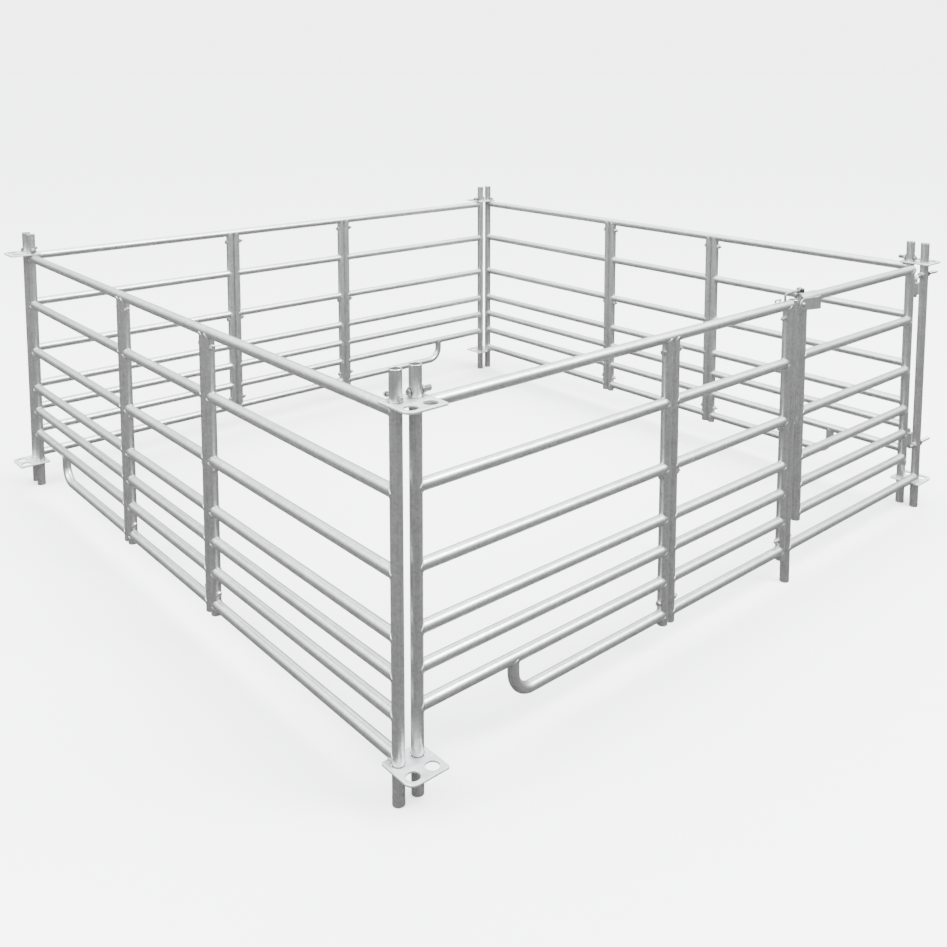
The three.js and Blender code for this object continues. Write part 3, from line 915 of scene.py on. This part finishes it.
# %% Points for the bolts
def aimed_points(name, places):
    """A mesh of loose points, each with the direction its bolt points in."""
    mesh = bpy.data.meshes.new(name)
    mesh.from_pydata([p for p, _ in places], [], [])
    aim = mesh.attributes.new("aim", "FLOAT_VECTOR", "POINT")
    for item, (_, way) in zip(aim.data, places):
        item.vector = way
    return mesh


def on_side(side, u, v, z, way):
    place = side_matrix(side)
    return place @ Vector((u, v, z)), place.to_3x3() @ Vector(way)


def build_bolts(name, side, u, way, heights, sizes, material, nodes=()):
    """Bolts along the side, one above the other; way is the direction of their nuts."""
    points = aimed_points(name, [on_side(side, u, 0, z, (way, 0, 0)) for z in heights])
    bolts = grow(name, points, bolt_tree, sizes)
    finish_piece(name, bolts, "pen", material, nodes)


print("helpers: aimed_points, on_side, build_bolts")

# %% Bolts through the uprights
PAIR_HEIGHTS = (0.966, 0.575, 0.165)
PAIR_BOLT = {
    "Grip": 2 * TUBE_R + 0.0001, "Stand": 0.0, "Head Width": 0.017, "Head Height": 0.0062,
    "Nut Width": 0.017, "Nut Height": 0.0082, "Washer Radius": 0.0105,
    "Washer Thickness": 0.0015, "Shank Radius": 0.005, "Tip": 0.0172, "Pitch": 0.0018,
    "Thread Depth": 0.0011, "Material": bolt_zinc,
}

for side in SIDES:
    for seam, seam_u in (("end", END_PANEL), ("bend", MID_END)):
        way = -1 if (side, seam) == ("front", "bend") else 1
        node = f"{side}_pair_bolt_{seam}"
        build_bolts(node + "_steel", side, seam_u, way, PAIR_HEIGHTS[:1], PAIR_BOLT, bolt_zinc,
                    [node])
        build_bolts(f"{side}_lower_bolts_{seam}", side, seam_u, way, PAIR_HEIGHTS[1:], PAIR_BOLT,
                    bolt_zinc)
print("bolts through uprights:", 2 * len(SIDES) * len(PAIR_HEIGHTS))

# %% [markdown]
# Each corner plate lies loose on the rails, and a bolt through each post just above keeps it
# from lifting. One post has a stout coarse-threaded bolt over its rail; the other has a thin
# one whose nut stands at its far end.

# %% Plate bolts
STOUT_RISE, THIN_RISE = 0.0132, 0.0095
STOUT_BOLT = {
    **PAIR_BOLT, "Grip": TUBE_R, "Nut Width": 0.021, "Nut Height": 0.007, "Washer Radius": 0.0125,
    "Shank Radius": 0.0085, "Tip": 0.029, "Pitch": 0.0062, "Thread Depth": 0.003,
    "Material": dull_steel,
}
THIN_BOLT = {
    **PAIR_BOLT, "Grip": TUBE_R, "Stand": 0.017, "Head Width": 0.013, "Head Height": 0.0055,
    "Nut Width": 0.012, "Nut Height": 0.0075, "Washer Radius": 0.0075, "Washer Thickness": 0.001,
    "Shank Radius": 0.0042, "Tip": 0.0105, "Material": dull_steel,
}
plate_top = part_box("front_corner_plate_top")[1].z

for side in SIDES:
    build_bolts(f"{side}_stout_plate_bolt", side, post_to_post, -1, [plate_top + STOUT_RISE],
                STOUT_BOLT, dull_steel)
    if side != "front":
        build_bolts(f"{side}_thin_plate_bolt", side, 0, 1, [plate_top + THIN_RISE],
                    THIN_BOLT, dull_steel)
print("plate bolts above z =", round(plate_top, 4))

# %% [markdown]
# ## Turned pieces
# Collars, bushes and rods are lathe work: an outline of radii and heights, taken round an axis.
# With six sides in place of twenty-four, the same helper makes a hexagon for a nut.

# %% Turned pieces and hexagons
ROD_SEGMENTS = 24
CHAMFER_R_SHARE = 0.86
CHAMFER_LENGTH_SHARE = 0.18


def on_axis(start, axis, height, c, s):
    """A point that height along the axis from start, and (c, s) across it."""
    u, v, z = start
    if axis == "z":
        return (u + c, v + s, z + height)
    if axis == "u":
        return (u + height, v + c, z + s)
    return (u + c, v + height, z + s)


def turned(bm, start, outline, axis="z", count=ROD_SEGMENTS, closed=False):
    """A turned piece: outline is (radius, height along the axis) from its start."""
    rings = [[on_axis(start, axis, h, c, s) for c, s in circle(r, count)] for r, h in outline]
    skin(bm, rings, closed)


def rounded_solid(r, length, edge):
    return [(r - edge, 0), (r, edge), (r, length - edge), (r - edge, length)]


def rounded_ring(r_out, r_in, length, edge):
    return [(r_out - edge, 0), (r_out, edge), (r_out, length - edge), (r_out - edge, length),
            (r_in + edge, length), (r_in, length - edge), (r_in, edge), (r_in + edge, 0)]


def hexagon(bm, start, across_flats, length, axis):
    """A hexagon chamfered at both ends, which is a turned piece with six sides."""
    big = across_flats / math.sqrt(3)
    small = big * CHAMFER_R_SHARE
    rise = length * CHAMFER_LENGTH_SHARE
    outline = [(small, 0), (big, rise), (big, length - rise), (small, length)]
    turned(bm, start, outline, axis, count=6)


print("round parts have", ROD_SEGMENTS, "sides")

# %% [markdown]
# ## Hinges
# A long threaded hook passes right through the hinge post. A collar stops it on the gate's
# side and a black nut draws it tight on the other, and the leaf's bush turns on its end. The
# thread could be a texture, but real ridges also show in the outline.

# %% Hinge hooks and nuts
HINGE_U = 0.070
SHANK_R = 0.007
PIN_R = 0.0069
HOOK_BEND = 0.016
HOOK_BEND_STEPS = 10
SHANK_CENTRE_IN = 0.0125
SHANK_END_R = SHANK_R * 0.72
SHANK_END_TAPER = 0.0015
THREAD_PITCH = 0.0022
THREAD_DEPTH = 0.0009
THREAD_END = -0.010
COLLAR_START = TUBE_R + 0.0003
COLLAR_R, COLLAR_LENGTH, COLLAR_EDGE = 0.0125, 0.016, 0.0012
HINGE_NUT_WIDTH = 0.024


def threaded_rings(u0, u1, z, r):
    """Rings of a rod along u with a helical ridge, four to each turn of the thread."""
    count = round((u1 - u0) / THREAD_PITCH * 4)
    rings = []
    for n in range(count + 1):
        u = u0 + (u1 - u0) * n / count
        ring = []
        for i, (c, s) in enumerate(circle(1.0, ROD_SEGMENTS)):
            phase = (u / THREAD_PITCH + i / ROD_SEGMENTS) % 1
            here = r - THREAD_DEPTH * abs(2 * phase - 1)
            ring.append((u, here * c, z + here * s))
        rings.append(ring)
    return rings


def build_hinge(which):
    low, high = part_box(f"hinge_hook_{which}")
    upper = which == "upper"
    z = high.z - SHANK_CENTRE_IN if upper else low.z + SHANK_CENTRE_IN
    end_z = low.z if upper else high.z
    start_u = half_side - high.x
    way = -1 if upper else 1

    bm = bmesh.new()
    rings = [[(start_u, c, z + s) for c, s in circle(SHANK_END_R, ROD_SEGMENTS)]]
    rings += threaded_rings(start_u + SHANK_END_TAPER, THREAD_END, z, SHANK_R)
    path = bent_path((0.0, z), (HINGE_U, z), (HINGE_U, end_z - way * 0.001), HOOK_BEND,
                     HOOK_BEND_STEPS)
    rings += [ring_across(*station, PIN_R, count=ROD_SEGMENTS) for station in path]
    rings.append(ring_across(HINGE_U, end_z, 0, way, PIN_R - 0.0015, count=ROD_SEGMENTS))
    skin(bm, rings)
    collar = rounded_solid(COLLAR_R, COLLAR_LENGTH, COLLAR_EDGE)
    turned(bm, (COLLAR_START, 0, z), collar, axis="u")
    solid_piece(f"hinge_hook_{which}", bm, "pen", bolt_zinc)

    nut_low, nut_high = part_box(f"hinge_nut_{which}")
    thickness = nut_high.x - nut_low.x
    bm = bmesh.new()
    hexagon(bm, (half_side - nut_high.x, 0, z), HINGE_NUT_WIDTH, thickness, "u")
    solid_piece(f"hinge_nut_{which}", bm, "pen", black_steel, smooth=False)


print("the hooks' pins stand at u =", HINGE_U)

# %% [markdown]
# Each lug is a flat bar welded to the leaf's stile, with a bush at its end that turns on the
# hook. The bar's edges are bevelled a little, because a perfectly sharp edge catches no light.

# %% Hinge lugs
BUSH_R, BUSH_BORE_R, BUSH_EDGE = 0.013, 0.0075, 0.0008
LUG_START_IN = 0.0115
LUG_HALF = 0.005
LUG_INSET = 0.0004
LUG_TOE = 0.0055


def rounded_block(bm, low, high, edge):
    """A block with small flats along its edges."""
    made = bmesh.ops.create_cube(bm, size=1.0)["verts"]
    size = Vector(high) - Vector(low)
    centre = (Vector(high) + Vector(low)) / 2
    bmesh.ops.scale(bm, vec=size, verts=made)
    bmesh.ops.translate(bm, vec=centre, verts=made)
    edges = list({e for v in made for e in v.link_edges})
    bmesh.ops.bevel(bm, geom=edges, offset=edge, segments=2, affect="EDGES")


def build_lug(which):
    node = f"gate_lug_{which}"
    low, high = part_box(node)
    height = high.z - low.z
    bm = bmesh.new()
    turned(bm, (HINGE_U, 0, low.z), rounded_ring(BUSH_R, BUSH_BORE_R, height, BUSH_EDGE),
           closed=True)
    start = (HINGE_U + LUG_START_IN, -LUG_HALF, low.z + LUG_INSET)
    end = (HINGE_STILE - TUBE_R + 0.001, LUG_HALF, high.z - LUG_INSET)
    rounded_block(bm, start, end, BUSH_EDGE)
    solid_piece(node, bm, "gate_leaf", weld_zinc)
    for v in (-LUG_TOE, LUG_TOE):
        toe = [(HINGE_STILE - TUBE_R + 0.0015, v, low.z + height * t / 12) for t in range(1, 12)]
        add_weld("front", toe, closed=False, body="gate_leaf")


for which in ("upper", "lower"):
    build_hinge(which)
    build_lug(which)
print("bushes of radius", BUSH_R, "m with a bore of", BUSH_BORE_R)

# %% [markdown]
# ## Latch
# A strip of steel is folded over the end of the leaf's top rail like a saddle. A plate on its
# outer side ends in a round lug with a domed bolt, which hides the gap to the frame post. An
# ear on top carries a hook of bent rod that reaches over the neighbouring panel's rail.

# %% Latch saddle
LEAF_TOP = LEAF_RAILS[0]
PIVOT_Z = 1.052
PIVOT_U = 0.926
SADDLE_R = 0.0205
SADDLE_BORE_R = 0.01715
SADDLE_U = (0.826, 0.931)
SADDLE_LEG = 0.033
SADDLE_EDGE = 0.0009
EAR_V = (-0.0085, -0.0025)
EAR_HALF, EAR_RISE, EAR_SINK, EAR_EDGE = 0.012, 0.009, 0.004, 0.0012
HOOK_V = 0.0018
HOOK_ROD_R = 0.004
HOOK_TIP_U = 1.022
HOOK_TIP_Z = 1.0285


def saddle_section():
    """The folded strip seen from its end: a half round over the rail with two legs."""
    edge = SADDLE_EDGE
    half_turns = [math.pi * i / 24 for i in range(25)]
    outer, inner = [
        [(r * math.cos(a), LEAF_TOP + r * math.sin(a)) for a in half_turns]
        for r in (SADDLE_R, SADDLE_BORE_R)
    ]
    toe = LEAF_TOP - SADDLE_LEG
    left = [(-SADDLE_R, toe + edge), (-SADDLE_R + edge, toe), (-SADDLE_BORE_R - edge, toe),
            (-SADDLE_BORE_R, toe + edge)]
    right = [(-v, z) for v, z in reversed(left)]
    return outer + left + inner[::-1] + right


def build_saddle():
    bm = bmesh.new()
    section = saddle_section()
    rows = [[bm.verts.new((u, v, z)) for v, z in section] for u in SADDLE_U]
    count = len(rows[0])
    for i in range(count):
        j = (i + 1) % count
        bm.faces.new((rows[0][i], rows[0][j], rows[1][j], rows[1][i]))
    bm.faces.new(rows[0])
    bm.faces.new(rows[1])
    ear_low = (PIVOT_U - EAR_HALF, EAR_V[0], LEAF_TOP + SADDLE_R - EAR_SINK)
    ear_high = (PIVOT_U + EAR_HALF, EAR_V[1], PIVOT_Z + EAR_RISE)
    rounded_block(bm, ear_low, ear_high, EAR_EDGE)
    solid_piece("latch_saddle", bm, "gate_leaf", weld_zinc)


build_saddle()
print("saddle", round(SADDLE_U[1] - SADDLE_U[0], 3), "m long")

# %% [markdown]
# The side plate is one flat outline with a round end, drawn at four depths: the outer two are
# drawn in a little, which gives the plate its broken edge. Its bolt has a domed head outside
# and a nut inside.

# %% Side plate and its domed bolt
CATCH_U, CATCH_Z = 0.9395, 1.0065
LUG_ROUND = 0.021
SIDE_PLATE_Z = (0.975, 1.020)
SIDE_PLATE_ARC = (math.radians(-85), math.radians(94))
SIDE_PLATE_STEPS = 20
SIDE_PLATE_MIDDLE_U = 0.9
DOME_R, DOME_RISE, DOME_RIM = 0.0072, 0.005, 0.0012
DOME_ANGLES = (0.35, 0.7, 1.05, 1.35)
CATCH_SHANK_R = 0.004
CATCH_NUT_WIDTH, CATCH_NUT_LENGTH = 0.013, 0.006


def build_side_plate():
    low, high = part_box("latch_side_plate")
    v0, v1 = -half_side - high.y, -half_side - low.y
    first, last = SIDE_PLATE_ARC
    arc = [first + (last - first) * i / SIDE_PLATE_STEPS for i in range(SIDE_PLATE_STEPS + 1)]
    outline = [(SADDLE_U[0], SIDE_PLATE_Z[0])]
    outline += [(CATCH_U + LUG_ROUND * math.cos(a), CATCH_Z + LUG_ROUND * math.sin(a)) for a in arc]
    outline += [(SADDLE_U[0], SIDE_PLATE_Z[1])]
    centre = Vector((SIDE_PLATE_MIDDLE_U, CATCH_Z))
    shrunk = [tuple(Vector(p) + (centre - Vector(p)).normalized() * SADDLE_EDGE) for p in outline]
    stations = ((v0, shrunk), (v0 + SADDLE_EDGE, outline),
                (v1 - SADDLE_EDGE, outline), (v1, shrunk))
    bm = bmesh.new()
    skin(bm, [[(u, v, z) for u, z in flat] for v, flat in stations])
    solid_piece("latch_side_plate", bm, "gate_leaf", weld_zinc)

    head_v = v1 + 0.0002
    dome = [(DOME_R, 0), (DOME_R, DOME_RIM)]
    dome += [(DOME_R * math.cos(a), DOME_RIM + (DOME_RISE - DOME_RIM) * math.sin(a))
             for a in DOME_ANGLES]
    bm = bmesh.new()
    turned(bm, (CATCH_U, head_v, CATCH_Z), dome, axis="v")
    shank = rounded_solid(CATCH_SHANK_R, head_v - v0 + 0.0075, 0.0004)
    turned(bm, (CATCH_U, v0 - 0.0065, CATCH_Z), shank, axis="v")
    hexagon(bm, (CATCH_U, v0 - 0.0063, CATCH_Z), CATCH_NUT_WIDTH, CATCH_NUT_LENGTH, "v")
    solid_piece("latch_catch_bolt", bm, "gate_leaf", bolt_zinc)

    bead_z = SIDE_PLATE_Z[1] + 0.0009
    bead = [(SADDLE_U[0] + 0.004 + i * 0.0096, SADDLE_R + 0.0012, bead_z) for i in range(11)]
    add_weld("front", bead, closed=False, body="gate_leaf")


build_side_plate()
print("domed bolt at u =", CATCH_U)

# %% [markdown]
# The pivot bolt runs through the ear and the hook's eye. Its head sits on the pen's side of
# the ear and its black nut on the other.

# %% Latch pivot bolt
PIVOT_R = 0.004
PIVOT_HEAD_WIDTH, PIVOT_HEAD_LENGTH = 0.013, 0.0037
PIVOT_NUT_WIDTH, PIVOT_NUT_LENGTH = 0.0155, 0.0072
PIVOT_PLAY = 0.0003


def build_pivot_bolt():
    head_v = EAR_V[0] - PIVOT_PLAY
    nut_v = HOOK_V + HOOK_ROD_R + PIVOT_PLAY
    head_at = (PIVOT_U, head_v - PIVOT_HEAD_LENGTH, PIVOT_Z)
    shank = rounded_solid(PIVOT_R, nut_v - head_v + 0.0085, 0.0005)
    bm = bmesh.new()
    hexagon(bm, head_at, PIVOT_HEAD_WIDTH, PIVOT_HEAD_LENGTH, "v")
    turned(bm, (PIVOT_U, head_v - 0.001, PIVOT_Z), shank, axis="v")
    hexagon(bm, (PIVOT_U, nut_v, PIVOT_Z), PIVOT_NUT_WIDTH, PIVOT_NUT_LENGTH, "v")
    solid_piece("latch_pivot_bolt", bm, "gate_leaf", black_steel, smooth=False)


build_pivot_bolt()
print("hook's pivot at z =", PIVOT_Z)

# %% [markdown]
# The hook is one rod with an eye at its start and a turned-down tip, so it can reuse the path
# and rings of the bent rail. It rides on its own body. The small staple that it reaches for
# is bent from thinner rod and stays with the pen.

# %% Latch hook and keeper
EYE_R, EYE_BORE_R, EYE_EDGE = 0.0095, 0.0045, 0.001
HOOK_TIP_BEND, HOOK_TIP_STEPS = 0.009, 8
HOOK_TIP_ROUND = 0.001
KEEPER_R = 0.0024
KEEPER_INSET = 0.006


def build_hook():
    bm = bmesh.new()
    half = HOOK_ROD_R
    eye = [(EYE_R - EYE_EDGE, -half), (EYE_R, EYE_EDGE - half), (EYE_R, half - EYE_EDGE),
           (EYE_R - EYE_EDGE, half), (EYE_BORE_R, half), (EYE_BORE_R, -half)]
    turned(bm, (PIVOT_U, HOOK_V, PIVOT_Z), eye, axis="v", closed=True)
    path = bent_path((PIVOT_U + 0.0075, PIVOT_Z), (HOOK_TIP_U, PIVOT_Z),
                     (HOOK_TIP_U, HOOK_TIP_Z + HOOK_TIP_ROUND), HOOK_TIP_BEND, HOOK_TIP_STEPS)
    rings = [ring_across(*station, half, v=HOOK_V, count=ROD_SEGMENTS) for station in path]
    rings.append(ring_across(HOOK_TIP_U, HOOK_TIP_Z, 0, -1, half - HOOK_TIP_ROUND, v=HOOK_V,
                             count=ROD_SEGMENTS))
    skin(bm, rings)
    solid_piece("latch_hook", bm, "latch_hook", dull_steel)


def build_keeper():
    low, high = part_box("latch_keeper")
    u0, u1 = half_side - high.x, half_side - low.x
    z = high.z - 0.0025
    rail_top = TOP_RAIL + TUBE_R - 0.0005
    bridge = rounded_solid(KEEPER_R, u1 - u0, 0.0008)
    leg = rounded_solid(KEEPER_R, z - rail_top, 0.0002)
    bm = bmesh.new()
    turned(bm, (u0, 0, z), bridge, axis="u", count=16)
    for u in (u0 + KEEPER_INSET, u1 - KEEPER_INSET):
        turned(bm, (u, 0, rail_top), leg, count=16)
        add_weld("front", standing_ring(u, rail_top + 0.0008, KEEPER_R)[::3])
    solid_piece("latch_keeper", bm, "pen", dull_steel)


build_hook()
build_keeper()
print("hook reaches u =", HOOK_TIP_U)

# %% [markdown]
# All the weld lines are known now, so the welder can run: one bead mesh for each body.

# %% Weld beads
BEAD = {"Bead Radius": 0.0021, "Ripple": 0.0016, "Ripple Scale": 170.0, "Material": weld_zinc}


def lines_mesh(name, lines):
    points, edges = [], []
    for line, closed in lines:
        first = len(points)
        points += line
        edges += [(first + i, first + i + 1) for i in range(len(line) - 1)]
        if closed:
            edges.append((first + len(line) - 1, first))
    mesh = bpy.data.meshes.new(name)
    mesh.from_pydata(points, edges, [])
    return mesh


for body, lines in weld_lines.items():
    beads = grow(body, lines_mesh(body, lines), weld_tree, BEAD)
    finish_piece(f"{body}_weld_beads", beads, body, weld_zinc)
    print(body, "has", len(lines), "beads,", len(beads.polygons), "faces")
